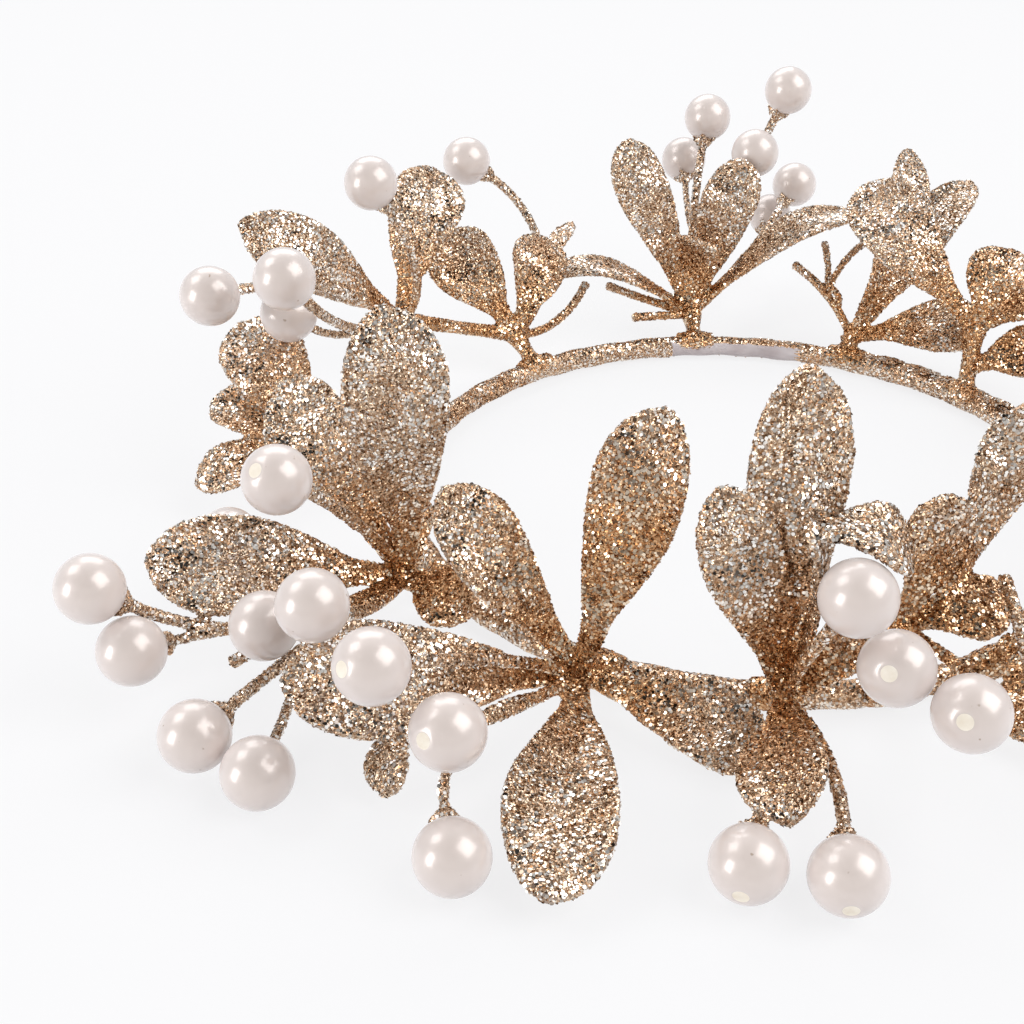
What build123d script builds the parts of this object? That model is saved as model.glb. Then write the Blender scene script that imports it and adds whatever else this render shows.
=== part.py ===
import os
from math import cos, degrees, radians, sin

from build123d import *

# Candle ring with twelve moulded leaf sprays and pearl berries, in millimetres.
# The origin is the middle of the candle opening on the table, Z points up.

# Hoop sizes
hoop_radius = 48.5
hoop_section = 1.75
hoop_flat = 1.6
core_wire_radius = 0.8
butt_angle = 46.0
butt_gap = 0.4

# Splice sizes
strand_radius = 0.9
strand_start = 26.0
strand_end = 64.0
strand_tilt = -10.0
band_thickness = 0.4
band_width = 1.6
band_angles = [28.5, 45.0, 52.0]

# Spray sizes
foot_thickness = 0.9
foot_length = 6.0
foot_from = 28.0
foot_to = 112.0
stem_foot_radius = 1.3
stem_top_radius = 2.0
branch_radius = 1.1
hub_cap = 1.6
leaf_root_offset = 0.5
leaf_thickness = 1.2
petiole_half_width = 1.0
stalk_radius = 0.75
fork_radius = 0.6
cup_height = 1.2
cup_mouth_radius = 1.7
cup_overlap = 0.5

# Pearl sizes
pearl_radius = 4.0
pearl_hole_radius = 0.95
peg_depth = 6.0

# Clearances
glue_gap = 0.1
peg_gap = 0.1

# Reach of the cutting shapes, well past the ring
cut_reach = 600.0

# Each sprig stands at an angle on the hoop. Points are given from the hoop's
# centre line as (out, along, up), directions as (heading, rise) in degrees,
# where heading 0 points away from the candle and 90 along the hoop.
# Leaves: heading, rise, length, width, roll, arch. Side leaves grow at a root
# point of their own, and branch leaves at the end of a branch off the hub.
# Pearls: centre, seat direction, start of the stalk ("hub", "branch" or the
# number of the stalk it forks from and the share of that stalk below the fork).
# Bare stalks have lost their bead and are given the same way, by their end.
star_leaves = [
    (-87, 50, 26.5, 9.0, -50, 1.5),
    (129, 74, 34.5, 10.3, 65, 1.5),
    (91, -7, 23.0, 9.5, 30, 1.5),
    (19, -2, 34.5, 11.8, -5, 1.5),
    (-46, 9, 34.0, 13.0, -45, 1.5),
]
star_side_leaves = [((21.5, -13.5, 6.5), (16, -29, 11.0, 5.5, 20, 0.8))]
star_pearls = [
    ((32.5, -10.5, 19.5), (-20, 22), "hub"),
    ((31.5, -2.5, 13.5), (-11, 19), "hub"),
    ((38.0, 1.5, 4.1), (38, -20), (1, 0.5)),
]
fan_leaves = [
    (65, 65, 32.0, 9.0, -60, -1.5),
    (-64, 72, 27.5, 9.5, 55, -1.5),
    (-86, 32, 33.0, 10.5, 0, 3.5),
    (82, 16, 25.5, 8.5, 0, 4.0),
    (119, 84, 14.5, 9.5, 20, 1.0),
]
fan_pearls = [
    ((24.0, -3.5, 34.5), (-20, 56), "hub"),
    ((32.0, -1.0, 24.5), (-2, 34), (0, 0.5)),
    ((14.5, -10.5, 31.0), (-51, 67), "hub"),
    ((22.5, -17.0, 39.5), (-76, 66), "hub"),
    ((32.0, -22.0, 19.5), (-40, 34), "hub"),
    ((36.5, -19.0, 12.0), (-26, 23), (4, 0.45)),
]
fan_bare = [
    ((7.5, 15.0, 10.0), (85, 20), "hub"),
    ((1.5, 11.0, 6.5), (95, 0), "hub"),
    ((10.0, -9.5, 14.0), (-67, 45), "hub"),
]
plain_sprig = dict(side_leaves=[], branch=None, branch_leaves=[], pearls=[], bare=[])
sprigs = [
    dict(
        plain_sprig,
        name="sprig_01",
        angle=3.0,
        hub=(6, 0, 5),
        leaves=fan_leaves,
        pearls=fan_pearls,
        bare=fan_bare,
    ),
    dict(
        plain_sprig,
        name="sprig_02",
        angle=36.0,
        hub=(3, 2, 12),
        leaves=[
            (96, 35, 30.0, 12.0, -45, 1.5),
            (9, 50, 14.0, 10.5, 0, 1.5),
            (-20, 16, 13.5, 10.0, 10, 1.0),
        ],
        side_leaves=[((1.5, 1.0, 6.0), (-35, 14, 12.5, 9.0, 40, 1.0))],
        pearls=[
            ((24.0, -12.0, 30.0), (-39, 49), "hub"),
            ((31.0, -11.0, 20.0), (-24, 24), (0, 0.4)),
        ],
    ),
    dict(
        plain_sprig,
        name="sprig_03",
        angle=61.5,
        hub=(2, 0, 5),
        leaves=[
            (-4, 54, 33.5, 8.5, 55, 1.5),
            (-29, 42, 34.0, 8.5, 5, -1.5),
            (-75, 10, 21.5, 11.0, 30, 1.0),
        ],
        bare=[
            ((6.0, 12.5, 14.5), (85, 25), "hub"),
            ((11.0, 9.0, 17.5), (45, 55), (0, 0.55)),
            ((12.5, 2.5, 18.0), (-30, 25), (0, 0.55)),
            ((3.5, 7.0, 12.5), (100, 0), (0, 0.4)),
        ],
    ),
    dict(
        plain_sprig,
        name="sprig_04",
        angle=92.0,
        hub=(6, 0, 5),
        leaves=fan_leaves,
        pearls=fan_pearls,
        bare=fan_bare,
    ),
    dict(
        plain_sprig,
        name="sprig_05",
        angle=127.0,
        hub=(6, 0, 6),
        leaves=[
            (26, 46, 20.5, 12.0, -40, 1.5),
            (-61, 49, 17.5, 10.0, 40, 1.5),
            (-67, 34, 24.0, 3.4, 0, 1.0),
        ],
        branch=(13.0, 18.5, 11.0),
        branch_leaves=[
            (91, 40, 34.5, 10.5, -75, 2.0),
            (-55, 49, 26.5, 12.0, 20, 1.5),
        ],
        pearls=[
            ((24.5, -3.5, 30.5), (55, 35), "hub"),
            ((-18.0, 55.0, 37.0), (130, 41), "branch"),
            ((-4.0, 47.5, 25.5), (111, 40), (1, 0.35)),
            ((-5.0, 59.5, 31.5), (114, 12), "branch"),
            ((7.5, 26.0, 37.0), (50, 58), "branch"),
        ],
        bare=[((8.0, -17.0, 10.5), (-79, 45), "hub")],
    ),
    dict(
        plain_sprig,
        name="sprig_06",
        angle=178.0,
        hub=(11, 0, 6),
        leaves=[
            (23, -3, 19.5, 8.5, -15, 1.0),
            (-15, 16, 19.0, 8.5, -25, 1.0),
            (-31, 45, 22.5, 12.0, -35, 1.5),
        ],
    ),
    dict(
        plain_sprig,
        name="sprig_07",
        angle=211.0,
        hub=(6, 0, 4.5),
        leaves=[
            (16, 88, 37.0, 12.5, -125, 2.0),
            (-69, 48, 29.0, 11.0, -45, 2.0),
            (-11, 16, 32.5, 12.0, -50, 1.5),
            (-121, 60, 10.5, 6.5, 55, 1.0),
            (103, 4, 12.0, 8.5, 40, 1.0),
        ],
        pearls=[
            ((45.0, -0.5, 16.0), (-13, 38), "hub"),
            ((42.5, 3.5, 9.0), (6, 9), (0, 0.65)),
            ((40.5, 17.0, 5.5), (22, -7), "hub"),
            ((36.5, 24.5, 4.1), (52, 8), (2, 0.65)),
            ((29.0, 10.0, 11.5), (23, 30), "hub"),
            ((27.0, 20.0, 19.5), (44, 41), "hub"),
            ((24.0, 5.0, 26.5), (21, 40), "hub"),
            ((24.5, -12.5, 9.5), (-40, 18), "hub"),
        ],
        bare=[((32.5, 7.5, 6.0), (10, -5), "hub")],
    ),
    dict(
        plain_sprig,
        name="sprig_08",
        angle=242.0,
        hub=(6, 0, 4.5),
        leaves=star_leaves,
        side_leaves=star_side_leaves,
        pearls=star_pearls,
    ),
    dict(
        plain_sprig,
        name="sprig_09",
        angle=266.5,
        hub=(6, 0, 6),
        leaves=[
            (-97, 71, 27.0, 9.0, -70, 1.5),
            (-175, 82, 38.0, 10.2, -15, 1.5),
            (-8, 80, 27.0, 7.5, -90, 1.0),
            (-5, 1, 20.0, 9.5, 20, 1.0),
            (87, 50, 13.0, 5.5, 60, 0.8),
        ],
        side_leaves=[((11.5, -1.5, 30.5), (100, -15, 12.5, 8.5, 20, 2.0))],
        pearls=[
            ((30.0, -5.5, 4.1), (-15, -12), "hub"),
            ((31.0, 4.0, 4.1), (-2, -13), "hub"),
            ((15.5, 4.5, 26.0), (45, 63), "hub"),
        ],
    ),
    dict(
        plain_sprig,
        name="sprig_10",
        angle=282.0,
        hub=(1.5, -1, 12),
        leaves=[
            (94, 72, 16.5, 8.0, -95, -1.5),
            (72, 17, 12.5, 7.5, 35, 1.0),
        ],
        side_leaves=[((3.5, 3.5, 14.5), (105, 60, 26.5, 9.5, -100, 1.5))],
        pearls=[
            ((15.5, -8.0, 17.5), (-41, 25), "hub"),
            ((21.5, -2.5, 15.5), (-41, 22), "hub"),
        ],
    ),
    dict(
        plain_sprig,
        name="sprig_11",
        angle=299.0,
        hub=(3, 0, 6),
        leaves=[
            (-22, -8, 14.0, 10.0, 40, 1.5),
            (35, 25, 27.0, 9.0, 0, 1.5),
            (60, 60, 25.0, 9.5, -60, 1.5),
        ],
        pearls=[
            ((30.0, 8.0, 14.0), (15, 20), "hub"),
            ((25.0, 17.0, 24.0), (35, 40), "hub"),
        ],
        bare=[((5.0, -6.5, 19.0), (150, 10), "hub")],
    ),
    dict(
        plain_sprig,
        name="sprig_12",
        angle=331.0,
        hub=(6, 0, 4.5),
        leaves=star_leaves,
        side_leaves=star_side_leaves,
        pearls=star_pearls,
    ),
]

# Derived values
hoop_height = hoop_flat
opening_radius = hoop_radius - hoop_flat
strand_reach = hoop_section + glue_gap + strand_radius
strand_x = hoop_radius + strand_reach * cos(radians(strand_tilt))
strand_z = hoop_height + strand_reach * sin(radians(strand_tilt))


def hoop_axes(angle):
    """Directions away from the candle, along the hoop and up at one angle."""
    turn = radians(angle)
    outward = Vector(cos(turn), sin(turn), 0)
    along = Vector(-sin(turn), cos(turn), 0)
    return outward, along, Vector(0, 0, 1)


def place(angle, point):
    """World point of (out, along, up) from the hoop's centre line."""
    outward, along, up = hoop_axes(angle)
    return outward * (hoop_radius + point[0]) + along * point[1] + up * point[2]


def direction(angle, heading, rise):
    """World direction of a heading and a rise."""
    outward, along, up = hoop_axes(angle)
    turn = radians(heading)
    lift = radians(rise)
    level = outward * cos(turn) + along * sin(turn)
    return level * cos(lift) + up * sin(lift)


def ring_arc(face, start, end):
    """Face in the XZ plane turned about the hoop's axis from start to end."""
    turned = revolve(face, axis=Axis.Z, revolution_arc=end - start)
    return Rot(0, 0, start) * turned


def section_circle(x, z, radius):
    """Round section in the XZ plane."""
    return Plane(origin=(x, 0, z), x_dir=(1, 0, 0), z_dir=(0, -1, 0)) * Circle(radius)


def section_box(x_from, x_to, z_from, z_to):
    """Rectangular section in the XZ plane."""
    middle = ((x_from + x_to) / 2, 0, (z_from + z_to) / 2)
    return Plane(origin=middle, x_dir=(1, 0, 0), z_dir=(0, -1, 0)) * Rectangle(x_to - x_from, z_to - z_from)


def leaf_blade(length, width, arch):
    """Spoon-shaped leaf from its root along +X, arched toward +Z."""
    half = width / 2
    root_end = 0.2 * length
    upper = [
        Line((0, petiole_half_width), (root_end, petiole_half_width)),
        ThreePointArc((root_end, petiole_half_width), (0.45 * length, 0.74 * half), (0.72 * length, half)),
        ThreePointArc((0.72 * length, half), (0.9 * length, 0.79 * half), (length, 0)),
    ]
    lower = [
        ThreePointArc((length, 0), (0.9 * length, -0.79 * half), (0.72 * length, -half)),
        ThreePointArc((0.72 * length, -half), (0.45 * length, -0.74 * half), (root_end, -petiole_half_width)),
        Line((root_end, -petiole_half_width), (0, -petiole_half_width)),
        Line((0, -petiole_half_width), (0, petiole_half_width)),
    ]
    outline = make_face(Curve() + upper + lower)
    plan = extrude(outline, amount=abs(arch) + 2 * leaf_thickness, both=True)
    low = -leaf_thickness / 2
    high = leaf_thickness / 2
    reach = 1.02 * length
    edges = [
        ThreePointArc((0, 0, low), (reach / 2, 0, arch + low), (reach, 0, low)),
        Line((reach, 0, low), (reach, 0, high)),
        ThreePointArc((reach, 0, high), (reach / 2, 0, arch + high), (0, 0, high)),
        Line((0, 0, high), (0, 0, low)),
    ]
    side = make_face(Curve() + edges)
    return plan & extrude(side, amount=width, both=True)


def leaf(angle, root, values):
    """Leaf blade set a little out from its root with heading, rise and roll."""
    heading, rise, length, width, roll, arch = values
    outward, along, up = hoop_axes(angle)
    turn = radians(heading)
    forward = direction(angle, heading, rise)
    level_side = along * cos(turn) - outward * sin(turn)
    level_normal = forward.cross(level_side)
    side = level_side * cos(radians(roll)) + level_normal * sin(radians(roll))
    start = root + forward * leaf_root_offset
    frame = Plane(origin=start, x_dir=forward, z_dir=forward.cross(side))
    return frame.location * leaf_blade(length, width, arch)


def tapered(start, end, start_radius, end_radius):
    """Round taper between two points."""
    way = end - start
    frame = Plane(origin=start, z_dir=way)
    cone = Cone(start_radius, end_radius, way.length, align=(Align.CENTER, Align.CENTER, Align.MIN))
    return frame.location * cone


def stem(start, end, start_radius):
    """Round stem that widens toward its whorl and ends a cap beyond it."""
    cap = (end - start).normalized() * hub_cap
    return tapered(start, end + cap, start_radius, stem_top_radius)


def stalk_path(angle, whorls, paths, point, seat, start, reach):
    """Circular arc to a whorl or a fork, from a cup root set back from a point."""
    toward = direction(angle, *seat)
    cup_root = place(angle, point) - toward * reach
    if start in whorls:
        foot = whorls[start]
    else:
        foot = paths[start[0]] @ (1 - start[1])
    return TangentArc(cup_root, foot, tangent=toward * -1)


def stalk(path, radius):
    """Round stalk along its arc."""
    section = Plane(origin=path @ 0, z_dir=path % 0) * Circle(radius)
    return sweep(section, path=path)


def cup(path, radius):
    """Flared calyx at the end of a stalk."""
    toward = (path % 0) * -1
    mouth = path @ 0 + toward * (cup_height + cup_overlap)
    return tapered(path @ 0, mouth, radius, cup_mouth_radius)


def peg(path):
    """Pin that carries the bead."""
    toward = (path % 0) * -1
    frame = Plane(origin=path @ 0, z_dir=toward)
    pin = Cylinder(
        pearl_hole_radius - peg_gap,
        cup_height + peg_depth,
        align=(Align.CENTER, Align.CENTER, Align.MIN),
    )
    return frame.location * pin


def pearl(centre, toward):
    """Drilled bead."""
    body = section_circle(0, 0, pearl_radius)
    body = body & section_box(pearl_hole_radius, 2 * pearl_radius, -2 * pearl_radius, 2 * pearl_radius)
    return Plane(origin=centre, z_dir=toward).location * revolve(body, axis=Axis.Z)


def pearl_space(centre, toward):
    """Round space that the spray leaves free for one bead."""
    across = toward.cross(Vector(0, 0, 1))
    frame = Plane(origin=centre, x_dir=toward, z_dir=across)
    return frame.location * Sphere(pearl_radius + glue_gap)


# Hoop: one length of sheathed wire bent round, its ends butted at the back right
half_butt = degrees(butt_gap / 2 / hoop_radius)
hoop_start = butt_angle + half_butt
hoop_end = butt_angle + 360 - half_butt
wire_face = section_circle(hoop_radius, hoop_height, core_wire_radius)
sheath_face = section_circle(hoop_radius, hoop_height, hoop_section)
sheath_box = section_box(opening_radius, hoop_radius + 2 * hoop_section, 0, hoop_height + 2 * hoop_section)
sheath_face = (sheath_face & sheath_box) - wire_face
hoop_core_wire = ring_arc(wire_face, hoop_start, hoop_end)
hoop_sheath = ring_arc(sheath_face, hoop_start, hoop_end)

# Splice: a second strand along the outside of the butt, held by three bands
splice_strand = ring_arc(section_circle(strand_x, strand_z, strand_radius), strand_start, strand_end)
band_outer = section_circle(hoop_radius, hoop_height, hoop_section + glue_gap + band_thickness)
band_outer = band_outer + section_circle(strand_x, strand_z, strand_radius + glue_gap + band_thickness)
band_inner = section_circle(hoop_radius, hoop_height, hoop_section + glue_gap)
band_inner = band_inner + section_circle(strand_x, strand_z, strand_radius + glue_gap)
band_box = section_box(
    hoop_radius - 0.5 * hoop_section,
    strand_x + 2 * strand_radius,
    hoop_height,
    hoop_height + 2 * hoop_section,
)
band_face = (band_outer - band_inner) & band_box
half_band = degrees(band_width / 2 / hoop_radius)
splice_bands = [ring_arc(band_face, angle - half_band, angle + half_band) for angle in band_angles]

# Space that the sprays leave free for the hoop, the strand and the candle
hoop_space = Pos(0, 0, hoop_height) * Torus(hoop_radius, hoop_section + glue_gap)
strand_space = ring_arc(
    section_circle(strand_x, strand_z, strand_radius + glue_gap),
    strand_start - 1,
    strand_end + 1,
)
candle_space = Cylinder(opening_radius + glue_gap, cut_reach)
table_space = Pos(0, 0, -cut_reach / 2) * Box(cut_reach, cut_reach, cut_reach)

# Saddle foot: part of a tube over the hoop's top and outer side
foot_face = section_circle(hoop_radius, hoop_height, hoop_section + glue_gap + foot_thickness)
foot_reach = 4 * hoop_section
foot_corner = (hoop_radius, 0, hoop_height)
foot_side = (
    hoop_radius + foot_reach * cos(radians(foot_from)),
    0,
    hoop_height + foot_reach * sin(radians(foot_from)),
)
foot_inner = (
    hoop_radius + foot_reach * cos(radians(foot_to)),
    0,
    hoop_height + foot_reach * sin(radians(foot_to)),
)
foot_top = (hoop_radius + foot_reach, 0, hoop_height + 2 * foot_reach)
foot_wedge = make_face(Polyline(foot_corner, foot_side, foot_top, foot_inner, close=True))
foot_face = foot_face & foot_wedge
half_foot = degrees(foot_length / 2 / hoop_radius)


def spray(sprig):
    """One moulding: saddle foot, stem, leaves, stalks, cups and pegs."""
    angle = sprig["angle"]
    hub = place(angle, sprig["hub"])
    whorls = {"hub": hub}
    body = ring_arc(foot_face, angle - half_foot, angle + half_foot)
    body = body + stem(place(angle, (0, 0, hoop_height)), hub, stem_foot_radius)
    for values in sprig["leaves"]:
        body = body + leaf(angle, hub, values)
    for root, values in sprig["side_leaves"]:
        body = body + leaf(angle, place(angle, root), values)
    if sprig["branch"]:
        whorls["branch"] = place(angle, sprig["branch"])
        body = body + stem(hub, whorls["branch"], branch_radius)
    for values in sprig["branch_leaves"]:
        body = body + leaf(angle, whorls["branch"], values)
    bead_paths = []
    for centre, seat, start in sprig["pearls"]:
        path = stalk_path(angle, whorls, bead_paths, centre, seat, start, pearl_radius + cup_height)
        bead_paths.append(path)
        radius = stalk_radius if start in whorls else fork_radius
        body = body + stalk(path, radius)
        body = body + cup(path, radius)
    bare_paths = []
    for end, seat, start in sprig["bare"]:
        path = stalk_path(angle, whorls, bare_paths, end, seat, start, cup_height)
        bare_paths.append(path)
        radius = stalk_radius if start in whorls else fork_radius
        body = body + stalk(path, radius)
        body = body + cup(path, radius)
    for centre, seat, start in sprig["pearls"]:
        body = body - pearl_space(place(angle, centre), direction(angle, *seat))
    body = body - hoop_space
    body = body - strand_space
    body = body - candle_space
    body = body - table_space
    for path in bead_paths:
        body = body + peg(path)
    return body


def beads(sprig):
    """Drilled beads of one sprig."""
    angle = sprig["angle"]
    return [pearl(place(angle, centre), direction(angle, *seat)) for centre, seat, start in sprig["pearls"]]


os.makedirs("parts", exist_ok=True)
export_step(hoop_core_wire, "parts/hoop_core_wire.step")
export_step(hoop_sheath, "parts/hoop_sheath.step")
export_step(splice_strand, "parts/splice_strand.step")
export_step(Compound(children=splice_bands), "parts/splice_bands.step")
for sprig in sprigs:
    export_step(spray(sprig), "parts/" + sprig["name"] + "_spray.step")
    if sprig["pearls"]:
        export_step(Compound(children=beads(sprig)), "parts/" + sprig["name"] + "_pearls.step")
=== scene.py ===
from math import atan2, cos, pi, radians, sin

import bpy
import numpy as np
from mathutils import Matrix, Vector


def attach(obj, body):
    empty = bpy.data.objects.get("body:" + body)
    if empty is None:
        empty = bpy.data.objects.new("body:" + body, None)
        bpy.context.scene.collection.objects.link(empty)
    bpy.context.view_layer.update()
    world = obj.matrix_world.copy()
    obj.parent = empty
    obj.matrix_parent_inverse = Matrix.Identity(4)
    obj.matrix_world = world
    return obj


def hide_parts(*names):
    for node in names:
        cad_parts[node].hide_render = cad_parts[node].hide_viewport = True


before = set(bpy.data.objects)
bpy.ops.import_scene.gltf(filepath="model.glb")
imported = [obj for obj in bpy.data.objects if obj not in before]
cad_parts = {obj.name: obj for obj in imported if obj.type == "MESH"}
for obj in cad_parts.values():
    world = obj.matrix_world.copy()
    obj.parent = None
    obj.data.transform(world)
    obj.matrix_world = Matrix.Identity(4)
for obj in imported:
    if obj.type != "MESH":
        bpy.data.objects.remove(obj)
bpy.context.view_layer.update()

# Core wire
# Drawn steel wire bent into a ring, with its two ends butted under the splice.
# The plastic sheath covers it all round.
def make_mottle():
    """Node group: a colour that wanders between two tones over the surface."""
    tree = bpy.data.node_groups.new("mottle", "ShaderNodeTree")
    tree.interface.new_socket("Scale", in_out="INPUT", socket_type="NodeSocketFloat")
    tree.interface.new_socket("Low", in_out="INPUT", socket_type="NodeSocketColor")
    tree.interface.new_socket("High", in_out="INPUT", socket_type="NodeSocketColor")
    tree.interface.new_socket("Color", in_out="OUTPUT", socket_type="NodeSocketColor")
    tree.interface.new_socket("Value", in_out="OUTPUT", socket_type="NodeSocketFloat")
    given = tree.nodes.new("NodeGroupInput")
    result = tree.nodes.new("NodeGroupOutput")
    spot = tree.nodes.new("ShaderNodeTexCoord")
    cloud = tree.nodes.new("ShaderNodeTexNoise")
    cloud.inputs["Detail"].default_value = 3.0
    spread = tree.nodes.new("ShaderNodeMapRange")
    spread.inputs["From Min"].default_value = 0.3
    spread.inputs["From Max"].default_value = 0.7
    tone = tree.nodes.new("ShaderNodeMix")
    tone.data_type = "RGBA"
    tree.links.new(spot.outputs["Object"], cloud.inputs["Vector"])
    tree.links.new(given.outputs["Scale"], cloud.inputs["Scale"])
    tree.links.new(cloud.outputs["Fac"], spread.inputs["Value"])
    tree.links.new(spread.outputs["Result"], tone.inputs["Factor"])
    tree.links.new(given.outputs["Low"], tone.inputs[6])
    tree.links.new(given.outputs["High"], tone.inputs[7])
    tree.links.new(tone.outputs[2], result.inputs["Color"])
    tree.links.new(spread.outputs["Result"], result.inputs["Value"])
    return tree


mottle = make_mottle()


def mottled_material(name, low, high, scale, metallic, smoothest, roughest):
    """A material whose colour and roughness wander together."""
    material = bpy.data.materials.new(name)
    material.use_nodes = True
    nodes = material.node_tree.nodes
    links = material.node_tree.links
    surface = nodes["Principled BSDF"]
    surface.inputs["Metallic"].default_value = metallic
    tones = nodes.new("ShaderNodeGroup")
    tones.node_tree = mottle
    tones.inputs["Scale"].default_value = scale
    tones.inputs["Low"].default_value = low
    tones.inputs["High"].default_value = high
    roughness = nodes.new("ShaderNodeMapRange")
    roughness.inputs["To Min"].default_value = smoothest
    roughness.inputs["To Max"].default_value = roughest
    links.new(tones.outputs["Color"], surface.inputs["Base Color"])
    links.new(tones.outputs["Value"], roughness.inputs["Value"])
    links.new(roughness.outputs["Result"], surface.inputs["Roughness"])
    return material


core_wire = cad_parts["hoop_core_wire"]
core_wire.data.materials.clear()
core_wire.data.materials.append(
    mottled_material(
        "drawn steel",
        low=(0.34, 0.34, 0.35, 1.0),
        high=(0.56, 0.56, 0.57, 1.0),
        scale=1400.0,
        metallic=1.0,
        smoothest=0.25,
        roughest=0.45,
    )
)

# Hoop sheath
# A round plastic sheath on the core wire, dipped in glue and rolled in
# champagne glitter. A short stretch inside the back is bare, lilac-grey plastic.
MM = 0.001
HOOP_RADIUS = 48.5 * MM
HOOP_SECTION = 1.6 * MM
HOOP_HEIGHT = 1.6 * MM
HOOP_SEED = 11
FINE_LUMPS = 46
FINE_LUMP_HEIGHT = 0.05
BROAD_LUMPS = 17
BROAD_LUMP_HEIGHT = 0.03
BARE_FROM = 71.0
BARE_TO = 97.0
BARE_INSIDE = 0.3 * HOOP_SECTION
BARE_TOP = HOOP_HEIGHT + 0.7 * HOOP_SECTION
BED_TOSS = 0.09 * MM
FLAKE_RADIUS = 0.225 * MM
FLAKE_DEPTH = 0.12 * MM
FLAKE_TILT = 0.13
WAVE_TILT = 2.6
WAVES_PER_METRE = 130.0
FLAKE_LIFT = -0.04 * MM
FLAKES_PER_SQUARE_METRE = 5.2e6
GRAINS_PER_METRE = 5200.0
GRAIN_TILT = 1.1
GRAIN_DARKENING = 1.3
# Painted glints: share and colour of the white matte flakes that stand in for flakes catching a lamp.
PAINTED_GLINT_SHARE = 0.12
PAINTED_GLINT_COLOUR = (1.0, 0.985, 0.96, 1.0)
FLAKE_SIZES = (0.6, 1.1)
FLAKE_LOOSENESS = (0.3, 2.2)
LOOSENESS_SEED = 7
FLAKE_CORNERS = 5
MOSTLY_LIGHT_OR_DARK = (0.5, 0.42)
# Painted shade: within this distance of a hub the glitter is fully darkened toward copper, and it
# fades back over the next stretch; a piece without a hub gets an even copper tint.
HUB_SHADE_FULL_TO = 5.0 * MM
HUB_SHADE_FADES_OVER = 17.0 * MM
COPPER_TINT_WITHOUT_HUB = 0.35
FLAKE_TONE_SEED = 1000
BED_TONE_SEED = 2000


def only(piece):
    """Selects one piece and makes it the active one."""
    bpy.ops.object.select_all(action="DESELECT")
    piece.select_set(True)
    bpy.context.view_layer.objects.active = piece


def join(pieces, name):
    """One piece from several, named, with its place and turn worked into its mesh."""
    bpy.ops.object.select_all(action="DESELECT")
    for piece in pieces:
        piece.select_set(True)
    bpy.context.view_layer.objects.active = pieces[0]
    if len(pieces) > 1:
        bpy.ops.object.join()
    whole = bpy.context.object
    whole.name = name
    bpy.ops.object.transform_apply(location=True, rotation=True, scale=True)
    return whole


def finish_with(piece, kind, **settings):
    """Adds a modifier and applies it."""
    only(piece)
    modifier = piece.modifiers.new(kind.lower(), kind)
    for key, value in settings.items():
        setattr(modifier, key, value)
    bpy.ops.object.modifier_apply(modifier=modifier.name)


def corners(piece):
    """The places of all corners, as an array."""
    places = np.zeros(len(piece.data.vertices) * 3, np.float32)
    piece.data.vertices.foreach_get("co", places)
    return places.reshape(-1, 3).astype(float)


def set_corners(piece, places):
    """Moves all corners to new places."""
    piece.data.vertices.foreach_set("co", np.asarray(places, np.float32).ravel())
    piece.data.update()


def face_middles(piece):
    """The middles of all faces, as an array."""
    middles = np.zeros(len(piece.data.polygons) * 3, np.float32)
    piece.data.polygons.foreach_get("center", middles)
    return middles.reshape(-1, 3).astype(float)


def write_face_values(piece, name, values):
    """Stores one number on each face, for the material."""
    layer = piece.data.attributes.new(name, "FLOAT", "FACE")
    layer.data.foreach_set("value", np.asarray(values, np.float32))


def tone_flakes(piece, seed, hubs):
    """Gives each facet its own shade and gloss, and painted shade near a hub: a darker copper tone.
    """
    count = len(piece.data.polygons)
    draw = np.random.default_rng(seed)
    write_face_values(piece, "flake_shade", draw.beta(*MOSTLY_LIGHT_OR_DARK, count))
    write_face_values(piece, "flake_gloss", draw.random(count))
    # Painted shade: the mask is 1 at a hub, where shade falls between the leaves, and fades to 0 away
    # from it.
    copper_and_shade = np.full(count, COPPER_TINT_WITHOUT_HUB)
    if hubs:
        middles = face_middles(piece)
        away = np.min([np.linalg.norm(middles - np.array(hub), axis=1) for hub in hubs], axis=0)
        share = np.clip((away - HUB_SHADE_FULL_TO) / HUB_SHADE_FADES_OVER, 0.0, 1.0)
        copper_and_shade = 1.0 - share * share * (3.0 - 2.0 * share)
    write_face_values(piece, "flake_copper_and_shade", copper_and_shade)


def pick_corners(piece, picked):
    """Selects the picked corners and stays in edit mode."""
    only(piece)
    bpy.ops.object.mode_set(mode="EDIT")
    bpy.ops.mesh.select_mode(type="VERT")
    bpy.ops.mesh.select_all(action="DESELECT")
    bpy.ops.object.mode_set(mode="OBJECT")
    piece.data.vertices.foreach_set("select", picked)
    bpy.ops.object.mode_set(mode="EDIT")


def toss_bed(piece, seed, bare):
    """Throws the corners about, so that each facet of the glitter bed lies its own way."""
    pick_corners(piece, ~bare)
    bpy.ops.transform.vertex_random(offset=BED_TOSS, uniform=1.0, normal=0.0, seed=seed)
    bpy.ops.object.mode_set(mode="OBJECT")
    finish_with(piece, "TRIANGULATE", quad_method="SHORTEST_DIAGONAL")


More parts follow.
